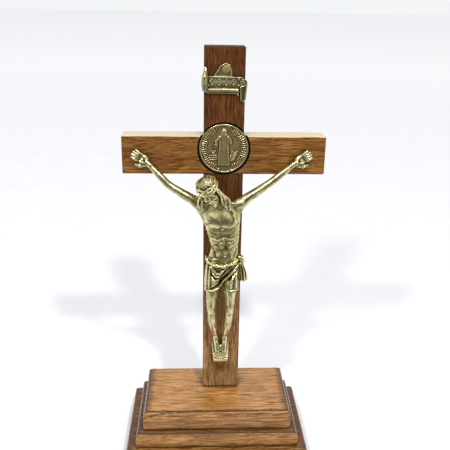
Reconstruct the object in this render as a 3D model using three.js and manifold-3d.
// Standing altar cross: a wooden cross on a three-step moulded base, with an inlaid medal,
// a cast figure nailed to it, a foot rest and a scroll-shaped title plate on one nail.
// Millimetres, +Z up, front towards -Y. The origin is the centre of the underside.
import * as THREE from 'three';
import { mergeVertices } from 'three/addons/utils/BufferGeometryUtils.js';
import Module from 'manifold-3d';

const wasm = await Module();
wasm.setup();

// ---- Driving dimensions -------------------------------------------------------------------

const FELT_THICKNESS = 1;
const FELT_MARGIN = 1.5;
const BOTTOM_BOARD = { width: 123.4, depth: 80, thickness: 15 };
const MIDDLE_BOARD = { width: 109.6, depth: 66.4, thickness: 10.5 };
const TOP_BOARD = { width: 99.8, depth: 56.8, thickness: 13.9 };
const EDGE_MOULD = { step: 0.7, roundWidth: 2.2, roundHeight: 4, underEase: 0.5 };

const BEAM_WIDTH = 25;
const BEAM_DEPTH = 15;
const BEAM_EASE = 0.8;
const UPRIGHT_HEIGHT = 234.8;
const ARM_SPAN = 127.8;
const ARM_WIDTH = 24.3;
const ARM_CENTRE_Z = 168.9;
const UPRIGHT_X = 3;
const FACE_Y = 1.7;

const MEDAL = { radius: 15.7, thickness: 2, rim: 1.1, relief: 0.5 };
const MEDAL_X = 0.1;
const MEDAL_Z = 172.9;
const RECESS = { radius: 16.8, depth: 2.5 };
const MEDAL_SUNK = 0.25;

const GAP = 0.3;
const TITLE_GAP = 0.35;
const TITLE_THICKNESS = 1;
const TITLE_NAIL = { x: 0.7, z: 221.6, headRadius: 2.6, headHeight: 1.7, shank: 0.75, length: 11 };
const TITLE_HOLE_RADIUS = 0.85;

const FIGURE_NAIL = { headRadius: 1.15, headHeight: 0.8, shank: 0.55, length: 9 };
const LEFT_PALM = { x: -51, z: 166.6, front: -4.2 };
const RIGHT_PALM = { x: 49, z: 166.4, front: -4.2 };
const INSTEP = { x: -0.6, z: 36.4, front: -10.6 };

const WOOD_SCREW = { head: 4, headHeight: 2.4, shank: 2, length: 32 };
const BASE_SCREW_X = 38;
const BASE_SCREW_Y = 17;
const UPRIGHT_SCREW = { head: 4.5, headHeight: 2.7, shank: 2.3, length: 52 };
const LAP_SCREW = { head: 3, headHeight: 1.8, shank: 1.4, length: 10 };
const DOWEL = { radius: 2.5, length: 20, inBoard: 8, spacing: 15 };

// ---- Solids -------------------------------------------------------------------------------

function solid(geometry) {
  const bare = geometry.index ? geometry.clone() : geometry;
  bare.deleteAttribute('normal');
  bare.deleteAttribute('uv');
  const merged = mergeVertices(bare, 1e-5);
  const vertProperties = new Float32Array(merged.attributes.position.array);
  const triVerts = new Uint32Array(merged.index.array);
  return new wasm.Manifold(new wasm.Mesh({ numProp: 3, vertProperties, triVerts }));
}

function geometryOf(manifold) {
  const mesh = manifold.getMesh();
  const geometry = new THREE.BufferGeometry();
  geometry.setAttribute('position', new THREE.BufferAttribute(mesh.vertProperties, 3));
  geometry.setIndex(new THREE.BufferAttribute(mesh.triVerts, 1));
  geometry.computeVertexNormals();
  return geometry;
}

function union(pieces) {
  return pieces.reduce((whole, piece) => whole.add(piece));
}

function box(width, depth, height, x, y, z) {
  return solid(new THREE.BoxGeometry(width, depth, height).translate(x, y, z));
}

// An outline drawn in X and Z, pushed along Y from y = from to y = to.
function frontPrism(shape, from, to, curveSegments = 6) {
  const geometry = new THREE.ExtrudeGeometry(shape, { depth: to - from, bevelEnabled: false, curveSegments });
  return solid(geometry.rotateX(Math.PI / 2).translate(0, to, 0));
}

// An outline drawn in Y and Z, pushed along X from x = from to x = to.
function sidePrism(shape, from, to, curveSegments = 6) {
  const geometry = new THREE.ExtrudeGeometry(shape, { depth: to - from, bevelEnabled: false, curveSegments });
  return solid(geometry.rotateX(Math.PI / 2).rotateZ(Math.PI / 2).translate(from, 0, 0));
}

function cylinderZ(radius, bottom, top, x, y, sides = 16) {
  const geometry = new THREE.CylinderGeometry(radius, radius, top - bottom, sides);
  return solid(geometry.rotateX(Math.PI / 2).translate(x, y, (bottom + top) / 2));
}

function cylinderY(radius, front, back, x, z, sides = 16) {
  const geometry = new THREE.CylinderGeometry(radius, radius, back - front, sides);
  return solid(geometry.translate(x, (front + back) / 2, z));
}

function ellipsoid(centre, radii, tilt = 0, across = 12, up = 6) {
  const geometry = new THREE.SphereGeometry(1, across, up).rotateX(Math.PI / 2);
  geometry.scale(...radii).rotateY(tilt).translate(...centre);
  return solid(geometry);
}

// A tapered shaft from one point to another, with flat ends.
function shaft(start, end, startRadius, endRadius, sides) {
  const from = new THREE.Vector3(...start);
  const along = new THREE.Vector3(...end).sub(from);
  const length = along.length();
  const turn = new THREE.Quaternion().setFromUnitVectors(new THREE.Vector3(0, 1, 0), along.normalize());
  const geometry = new THREE.CylinderGeometry(endRadius, startRadius, length, sides);
  return solid(geometry.translate(0, length / 2, 0).applyQuaternion(turn).translate(...start));
}

// Tapered shafts from point to point, with a ball at each point.
function chain(points, radii, sides = 8) {
  const links = points.map((point, i) => ellipsoid(point, [radii[i], radii[i], radii[i]], 0, sides, 4));
  for (let i = 1; i < points.length; i += 1) {
    links.push(shaft(points[i - 1], points[i], radii[i - 1], radii[i], sides));
  }
  return union(links);
}

// ---- Materials ----------------------------------------------------------------------------

function material(color, roughness, metalness) {
  return new THREE.MeshStandardMaterial({ color, roughness, metalness });
}

const baseWood = () => material(0x9a6a35, 0.4, 0);
const armWood = () => material(0x8a5526, 0.45, 0);
const uprightWood = () => material(0x6b4023, 0.5, 0);
const castBrass = () => material(0x8d8458, 0.35, 1);
const nailBrass = () => material(0xb59a4e, 0.3, 1);
const steel = () => material(0x8b8d90, 0.4, 1);

function part(name, geometry, finish, position = [0, 0, 0]) {
  const mesh = new THREE.Mesh(geometry, finish);
  mesh.name = name;
  mesh.position.set(...position);
  return mesh;
}

// ---- Fasteners ----------------------------------------------------------------------------

// A countersunk wood screw pointing up, its head's face at z = 0.
function screwGeometry({ head, headHeight, shank, length }) {
  const profile = [
    new THREE.Vector2(0, 0), new THREE.Vector2(head, 0), new THREE.Vector2(head, 0.4),
    new THREE.Vector2(shank, headHeight), new THREE.Vector2(shank, length - 2 * shank),
    new THREE.Vector2(0, length),
  ];
  return new THREE.LatheGeometry(profile, 12).rotateX(Math.PI / 2);
}

// The hole for that screw, with clearance all round, its mouth at z = -depth.
function screwHole({ head, headHeight, shank, length }, x, y, z, depth) {
  const profile = [
    new THREE.Vector2(0, -depth), new THREE.Vector2(head + GAP, -depth), new THREE.Vector2(head + GAP, 0.4 + GAP),
    new THREE.Vector2(shank + GAP, headHeight + GAP), new THREE.Vector2(shank + GAP, length - shank),
    new THREE.Vector2(0, length + GAP),
  ];
  return solid(new THREE.LatheGeometry(profile, 12).rotateX(Math.PI / 2).translate(x, y, z));
}

// A domed nail lying along Y, the underside of its head at y = 0.
function nailGeometry({ headRadius, headHeight, shank, length }) {
  const dome = new THREE.Vector2(0, -headHeight);
  const profile = [dome];
  for (let i = 1; i <= 4; i += 1) {
    const angle = (i / 4) * (Math.PI / 2);
    profile.push(new THREE.Vector2(headRadius * Math.sin(angle), -headHeight * Math.cos(angle)));
  }
  profile.push(new THREE.Vector2(shank, 0), new THREE.Vector2(shank, length - 3 * shank));
  profile.push(new THREE.Vector2(0, length));
  return new THREE.LatheGeometry(profile, 12);
}

// ---- Base ---------------------------------------------------------------------------------

function boardProfile(width, thickness, { step, roundWidth, roundHeight, underEase }) {
  const half = width / 2;
  const shoulder = thickness - step - roundHeight;
  const shape = new THREE.Shape();
  shape.moveTo(-half + underEase, 0);
  shape.lineTo(half - underEase, 0);
  shape.lineTo(half, underEase);
  shape.lineTo(half, shoulder);
  shape.absellipse(half - roundWidth, shoulder, roundWidth, roundHeight, 0, Math.PI / 2, false, 0);
  shape.lineTo(half - roundWidth, thickness);
  shape.lineTo(-half + roundWidth, thickness);
  shape.absellipse(-half + roundWidth, shoulder, roundWidth, roundHeight, Math.PI / 2, Math.PI, false, 0);
  shape.lineTo(-half, underEase);
  return shape;
}

// A board whose four edges carry the same routed mould, mitred at the corners.
function mouldedBoard({ width, depth, thickness }) {
  const across = frontPrism(boardProfile(width, thickness, EDGE_MOULD), -depth, depth, 5);
  const along = sidePrism(boardProfile(depth, thickness, EDGE_MOULD), -width, width, 5);
  return across.intersect(along);
}

const bottomBoardZ = FELT_THICKNESS;
const middleBoardZ = bottomBoardZ + BOTTOM_BOARD.thickness;
const topBoardZ = middleBoardZ + MIDDLE_BOARD.thickness;
const baseTop = topBoardZ + TOP_BOARD.thickness;
const baseScrewZ = bottomBoardZ + 4;
const uprightScrewZ = bottomBoardZ + 7;
const uprightY = FACE_Y + BEAM_DEPTH / 2;

function baseHoles(boardZ) {
  const holes = [];
  for (const x of [-BASE_SCREW_X, BASE_SCREW_X]) {
    for (const y of [-BASE_SCREW_Y, BASE_SCREW_Y]) {
      holes.push(screwHole(WOOD_SCREW, x, y, baseScrewZ - boardZ, baseScrewZ));
    }
  }
  holes.push(screwHole(UPRIGHT_SCREW, UPRIGHT_X, uprightY, uprightScrewZ - boardZ, uprightScrewZ));
  return union(holes);
}

function dowelHoles(bottom, x, y) {
  const pair = [-1, 1].map((side) => cylinderZ(
    DOWEL.radius + GAP, bottom - GAP, bottom + DOWEL.length + GAP, x + (side * DOWEL.spacing) / 2, y, 12));
  return union(pair);
}

function baseGroup() {
  const group = new THREE.Group();
  const felt = new THREE.BoxGeometry(
    BOTTOM_BOARD.width - 2 * FELT_MARGIN, BOTTOM_BOARD.depth - 2 * FELT_MARGIN, FELT_THICKNESS);
  group.add(part('base_felt', felt, material(0x2f4a35, 0.95, 0), [0, 0, FELT_THICKNESS / 2]));

  const bottom = mouldedBoard(BOTTOM_BOARD).subtract(baseHoles(bottomBoardZ));
  group.add(part('base_bottom_board', geometryOf(bottom), baseWood(), [0, 0, bottomBoardZ]));

  const middle = mouldedBoard(MIDDLE_BOARD).subtract(baseHoles(middleBoardZ));
  group.add(part('base_middle_board', geometryOf(middle), baseWood(), [0, 0, middleBoardZ]));

  const top = mouldedBoard(TOP_BOARD)
    .subtract(baseHoles(topBoardZ))
    .subtract(dowelHoles(TOP_BOARD.thickness - DOWEL.inBoard, UPRIGHT_X, uprightY));
  group.add(part('base_top_board', geometryOf(top), baseWood(), [0, 0, topBoardZ]));

  const corners = { front_left: [-1, -1], front_right: [1, -1], rear_left: [-1, 1], rear_right: [1, 1] };
  for (const [name, [sideX, sideY]] of Object.entries(corners)) {
    const place = [sideX * BASE_SCREW_X, sideY * BASE_SCREW_Y, baseScrewZ];
    group.add(part(`base_screw_${name}`, screwGeometry(WOOD_SCREW), steel(), place));
  }
  return group;
}

// ---- Wooden cross (its group's origin is the foot of the upright's front face) -------------

function chamferedRectangle(width, height, ease) {
  const x = width / 2;
  const y = height / 2;
  const corners = [
    [-x + ease, -y], [x - ease, -y], [x, -y + ease], [x, y - ease],
    [x - ease, y], [-x + ease, y], [-x, y - ease], [-x, -y + ease],
  ];
  return new THREE.Shape(corners.map(([a, b]) => new THREE.Vector2(a, b)));
}

// A beam with all twelve edges eased, centred on the origin.
function easedBeam(width, depth, height) {
  const front = frontPrism(chamferedRectangle(width, height, BEAM_EASE), -depth / 2, depth / 2);
  const side = sidePrism(chamferedRectangle(depth, height, BEAM_EASE), -width / 2, width / 2);
  const plan = solid(new THREE.ExtrudeGeometry(
    chamferedRectangle(width, depth, BEAM_EASE), { depth: height, bevelEnabled: false })
    .translate(0, 0, -height / 2));
  return front.intersect(side).intersect(plan);
}

const LAP_Y = BEAM_DEPTH / 2;
const medalRecess = () => cylinderY(RECESS.radius, -RECESS.depth, RECESS.depth, MEDAL_X, MEDAL_Z, 36);

function lapScrewHole() {
  const hole = new THREE.CylinderGeometry(LAP_SCREW.head + GAP, LAP_SCREW.head + GAP, 3, 16)
    .translate(MEDAL_X, RECESS.depth + 0.6, MEDAL_Z);
  return solid(hole).add(cylinderY(
    LAP_SCREW.shank + GAP, 0, RECESS.depth + LAP_SCREW.length + GAP, MEDAL_X, MEDAL_Z, 12));
}

function nailHole({ x, z }, { shank, length }) {
  return cylinderY(shank + GAP, -1, length + GAP, x, z, 12);
}

function uprightSolid() {
  const beam = easedBeam(BEAM_WIDTH, BEAM_DEPTH, UPRIGHT_HEIGHT).translate([0, BEAM_DEPTH / 2, UPRIGHT_HEIGHT / 2]);
  const notch = box(BEAM_WIDTH + 4, BEAM_DEPTH, ARM_WIDTH + GAP, 0, LAP_Y + GAP / 2 - BEAM_DEPTH / 2, ARM_CENTRE_Z);
  const screwHoleInFoot = cylinderZ(
    UPRIGHT_SCREW.shank + GAP, -1, uprightScrewZ + UPRIGHT_SCREW.length - baseTop + GAP, 0, BEAM_DEPTH / 2);
  return beam
    .subtract(notch)
    .subtract(medalRecess())
    .subtract(lapScrewHole())
    .subtract(screwHoleInFoot)
    .subtract(dowelHoles(-DOWEL.inBoard, 0, BEAM_DEPTH / 2))
    .subtract(nailHole(TITLE_NAIL, TITLE_NAIL))
    .subtract(nailHole(INSTEP, FIGURE_NAIL));
}

function crossbeamSolid() {
  const beam = easedBeam(ARM_SPAN, BEAM_DEPTH, ARM_WIDTH).translate([0.3, BEAM_DEPTH / 2, ARM_CENTRE_Z]);
  const notch = box(BEAM_WIDTH + GAP, BEAM_DEPTH, ARM_WIDTH + 4, 0, LAP_Y + BEAM_DEPTH / 2, ARM_CENTRE_Z);
  return beam
    .subtract(notch)
    .subtract(medalRecess())
    .subtract(lapScrewHole())
    .subtract(nailHole(LEFT_PALM, FIGURE_NAIL))
    .subtract(nailHole(RIGHT_PALM, FIGURE_NAIL));
}

// ---- Medal: a rimmed disc with a standing robed figure in low relief -----------------------

function medalSolid() {
  const { radius, thickness, rim, relief } = MEDAL;
  const profile = [
    [0, -thickness + relief], [radius - rim - 0.3, -thickness + relief], [radius - rim, -thickness],
    [radius - 0.3, -thickness], [radius, -thickness + 0.3], [radius, 0], [0, 0],
  ].map(([r, y]) => new THREE.Vector2(r, y));
  const disc = solid(new THREE.LatheGeometry(profile, 36));
  const field = -thickness + relief;
  const robe = new THREE.CylinderGeometry(1.5, 3.4, 11, 10).rotateX(Math.PI / 2).scale(1, 0.12, 1)
    .translate(0, field, -2);
  const head = ellipsoid([0, field, 5.2], [1.5, 0.4, 1.8]);
  const sleeves = [-1, 1].map((side) => chain([[side * 1.2, field, 2.6], [side * 5, field, 4.2]], [0.4, 0.35], 6));
  return union([disc, solid(robe), head, ...sleeves]);
}

// ---- Title plate: a scroll with rolled ends, pierced for one nail --------------------------

function titleOutline() {
  const shape = new THREE.Shape();
  shape.moveTo(-11.2, 208.2);
  shape.lineTo(10.5, 208.2);
  shape.lineTo(11.6, 217.2);
  shape.lineTo(4.4, 217.6);
  shape.bezierCurveTo(4.6, 222, 3.2, 225.2, 0.6, 225.4);
  shape.bezierCurveTo(-2.6, 225.2, -3.4, 219.6, -6.8, 217.6);
  shape.lineTo(-11.2, 217.8);
  return shape;
}

function tailOutline() {
  const shape = new THREE.Shape();
  shape.moveTo(9.6, 203);
  shape.lineTo(12.4, 201.6);
  shape.lineTo(13.6, 214);
  shape.lineTo(9.2, 214);
  return shape;
}

function titleSolid() {
  const back = -TITLE_GAP;
  const front = back - TITLE_THICKNESS;
  const plate = frontPrism(titleOutline(), front, back, 6);
  const tail = frontPrism(tailOutline(), front - 0.5, back, 4);
  const leftRoll = chain(
    [[-11.9, back - 1.8, 210.2], [-12.1, back - 1.8, 216], [-11.7, back - 1.8, 221.8]], [1.5, 1.8, 1.2]);
  const bottomRoll = chain([[-10.2, back - 1.35, 209.3], [8.6, back - 1.35, 209.3]], [1.25, 1.25]);
  const curl = cylinderY(2.6, front - 1.1, back, 11.2, 214.2, 16);
  const curlEye = cylinderY(1.1, front - 2, front - 0.5, 11.2, 214.2, 12);
  return union([plate, tail, leftRoll, bottomRoll, curl])
    .subtract(curlEye)
    .subtract(cylinderY(TITLE_HOLE_RADIUS, -10, 1, TITLE_NAIL.x, TITLE_NAIL.z, 16));
}

// ---- Figure ---------------------------------------------------------------------------------

function armSolid(shoulder, elbow, wrist, knuckles, tips) {
  const sleeve = chain([shoulder, elbow, wrist], [3.2, 2.4, 1.45]);
  const palm = chain([wrist, knuckles], [1.5, 2]);
  const fingers = chain([knuckles, tips], [1.5, 0.8], 6);
  return union([sleeve, palm, fingers]);
}

function legSolid(hip, knee, ankle, ball, toes) {
  const leg = chain([hip, knee, ankle], [5, 2.9, 1.6]);
  const calf = ellipsoid([(knee[0] + ankle[0]) / 2, -9, 59.5], [2.5, 2.8, 8], 0, 8, 6);
  const foot = chain([ankle, ball, toes], [1.7, 1.7, 1.4]);
  return union([leg, calf, foot]);
}

function headSolid() {
  const tilt = -0.2;
  const skull = ellipsoid([-10.2, -12.6, 149.8], [6.2, 6.6, 8.4], tilt);
  const nose = ellipsoid([-9.3, -19, 146.6], [0.8, 1.1, 1.6], tilt, 6, 4);
  const beard = ellipsoid([-7, -15.4, 140.9], [3.3, 3, 4.4], tilt, 8, 6);
  const band = new THREE.TorusGeometry(6, 1, 6, 14).rotateX(-0.2).rotateY(tilt).translate(-10.6, -12.6, 151.8);
  const neck = shaft([-2.6, -8.4, 139], [-8, -11.4, 146], 3.6, 3.2, 10);
  const longLock = chain([[-5, -11.6, 152], [1.6, -10.4, 145.4], [4.6, -10.6, 136]], [3, 2.4, 1.4]);
  const shortLock = chain([[-15.4, -11, 149], [-15.4, -10.4, 142], [-14, -9.8, 134.6]], [1.8, 1.9, 1.1]);
  return union([skull, nose, beard, solid(band), neck, longLock, shortLock]);
}

// A turned shape, flattened front to back, leaning sideways as it rises.
function leaningLathe(profile, flatness, lean, foot, sides) {
  const points = profile.map(([radius, height]) => new THREE.Vector2(radius, height));
  const geometry = new THREE.LatheGeometry(points, sides).rotateX(Math.PI / 2).scale(1, flatness, 1);
  geometry.applyMatrix4(new THREE.Matrix4().makeShear(0, 0, 0, 0, lean, 0)).translate(...foot);
  return solid(geometry);
}

function torsoSolid() {
  const profile = [[0, 0], [8, 1], [10.3, 6], [8.3, 15], [9, 21], [11.4, 31], [12, 38], [10, 45], [4, 48.5], [0, 49]];
  const trunk = leaningLathe(profile, 0.5, -0.06, [0.6, -7.4, 94], 14);
  const shoulders = chain([[-11.8, -7, 137.8], [8.2, -7, 138.8]], [3.8, 3.8]);
  return trunk.add(shoulders);
}

function loinclothSolid() {
  const profile = [[0, 0], [10.9, 0.2], [10.6, 12], [10.6, 19], [9.4, 21], [0, 22]];
  const wrap = leaningLathe(profile, 0.56, 0.05, [-1.2, -8.6, 81.6], 16);
  const roll = chain([[-9.8, -9, 101], [0, -14, 98.6], [10, -9.4, 102.4]], [1.3, 1.5, 1.4], 6);
  const knot = ellipsoid([12, -8.4, 102], [2.5, 2.2, 3], 0, 8, 6);
  const tail = shaft([12.4, -8.4, 101], [14, -8, 86.4], 1.4, 2.3, 8);
  return union([wrap, roll, knot, tail]);
}

function figureSolid() {
  const leftArm = armSolid(
    [-12.5, -7, 138.4], [-34.6, -5.4, 151], [-46.4, -3.2, 163.4], [-52.2, -2.4, 167.8], [-56.6, -2, 171.6]);
  const rightArm = armSolid(
    [9, -7, 139.6], [30, -5.4, 153], [43.8, -3.2, 163.8], [50, -2.4, 167.6], [54.6, -2, 171.8]);
  const leftLeg = legSolid(
    [-4.6, -8.4, 97], [-7.1, -12, 69], [-4, -7.4, 44.5], [-2.7, -8.6, 35], [-2.5, -9.4, 31.6]);
  const rightLeg = legSolid(
    [4.6, -8.4, 97], [5, -12, 69.5], [2.1, -7.4, 44.5], [1.3, -8.6, 35], [1.5, -9.4, 31.6]);
  const body = union([headSolid(), torsoSolid(), loinclothSolid(), leftArm, rightArm, leftLeg, rightLeg]);
  const wood = box(200, 40, 300, 0, 20 - GAP, 120);
  const nailHoles = [LEFT_PALM, RIGHT_PALM, INSTEP].map(({ x, z, front }) => {
    const shaft = cylinderY(FIGURE_NAIL.shank + 0.15, -30, 2, x, z, 12);
    const seat = cylinderY(FIGURE_NAIL.headRadius + 0.2, -30, front + FIGURE_NAIL.headHeight + 0.2, x, z, 12);
    return shaft.add(seat);
  });
  return body.subtract(wood).subtract(restSpace()).subtract(union(nailHoles));
}

// ---- Foot rest: a sloped tray with a raised rim, tapering down to the upright ---------------

const REST = { topZ: 35.2, frontZ: 28.2, rimZ: 27, toeY: -10.4, bottomZ: 15.8, backY: -GAP };

function restSlope(raise) {
  const shape = new THREE.Shape();
  shape.moveTo(REST.backY, REST.bottomZ);
  shape.lineTo(REST.backY, REST.topZ + raise);
  shape.lineTo(REST.toeY, REST.frontZ + raise);
  shape.lineTo(REST.toeY, REST.rimZ);
  shape.lineTo(REST.toeY + 2, REST.rimZ - 1.6);
  return shape;
}

function restFront(inset) {
  const shape = new THREE.Shape();
  shape.moveTo(-3.9 + inset, REST.bottomZ - 1);
  shape.lineTo(2.7 - inset, REST.bottomZ - 1);
  shape.lineTo(4 - inset, REST.rimZ);
  shape.lineTo(5.4 - inset, REST.topZ + 2);
  shape.lineTo(-6.6 + inset, REST.topZ + 2);
  shape.lineTo(-5.2 + inset, REST.rimZ);
  return shape;
}

// The space above the tray's floor and inside its rim, with a little clearance for the feet.
function restSpace() {
  return sidePrism(restSlope(1.1), -20, 20);
}

function footRestSolid() {
  const block = sidePrism(restSlope(0.8), -20, 20).intersect(frontPrism(restFront(0), -20, 0));
  const tray = new THREE.Shape();
  tray.moveTo(1, REST.topZ - 0.2);
  tray.lineTo(1, REST.topZ + 6);
  tray.lineTo(REST.toeY + 1, REST.frontZ + 6);
  tray.lineTo(REST.toeY + 1, REST.frontZ);
  const hollow = sidePrism(tray, -20, 20).intersect(frontPrism(restFront(1), -20, 2));
  return block.subtract(hollow).subtract(cylinderY(FIGURE_NAIL.shank + 0.2, -20, 2, INSTEP.x, INSTEP.z, 12));
}

function crossGroup() {
  const group = new THREE.Group();
  group.position.set(UPRIGHT_X, FACE_Y, baseTop);
  group.add(part('upright', geometryOf(uprightSolid()), uprightWood()));
  group.add(part('crossbeam', geometryOf(crossbeamSolid()), armWood()));
  group.add(part('upright_screw', screwGeometry(UPRIGHT_SCREW), steel(),
    [0, BEAM_DEPTH / 2, uprightScrewZ - baseTop]));
  const dowel = () => new THREE.CylinderGeometry(DOWEL.radius, DOWEL.radius, DOWEL.length, 12).rotateX(Math.PI / 2);
  const dowelZ = DOWEL.length / 2 - DOWEL.inBoard;
  for (const [name, side] of [['left', -1], ['right', 1]]) {
    const place = [(side * DOWEL.spacing) / 2, BEAM_DEPTH / 2, dowelZ];
    group.add(part(`upright_dowel_${name}`, dowel(), material(0xc9a878, 0.7, 0), place));
  }
  const lapScrew = screwGeometry(LAP_SCREW).rotateX(-Math.PI / 2);
  group.add(part('lap_screw', lapScrew, steel(), [MEDAL_X, RECESS.depth + 0.2, MEDAL_Z]));

  const medalY = MEDAL_SUNK + MEDAL.thickness;
  group.add(part('medal', geometryOf(medalSolid()), castBrass(), [MEDAL_X, medalY, MEDAL_Z]));
  group.add(part('title_scroll', geometryOf(titleSolid()), castBrass()));
  const titleNailY = -TITLE_GAP - TITLE_THICKNESS - 0.1;
  group.add(part('title_nail', nailGeometry(TITLE_NAIL), nailBrass(), [TITLE_NAIL.x, titleNailY, TITLE_NAIL.z]));

  group.add(part('corpus', geometryOf(figureSolid()), castBrass()));
  group.add(part('foot_rest', geometryOf(footRestSolid()), castBrass()));
  const nails = { hand_nail_left: LEFT_PALM, hand_nail_right: RIGHT_PALM, foot_nail: INSTEP };
  for (const [name, { x, z, front }] of Object.entries(nails)) {
    const seatY = front + FIGURE_NAIL.headHeight;
    const length = FIGURE_NAIL.length - seatY;
    group.add(part(name, nailGeometry({ ...FIGURE_NAIL, length }), nailBrass(), [x, seatY, z]));
  }
  return group;
}

const altarCross = new THREE.Group();
altarCross.add(baseGroup());
altarCross.add(crossGroup());

export default altarCross;
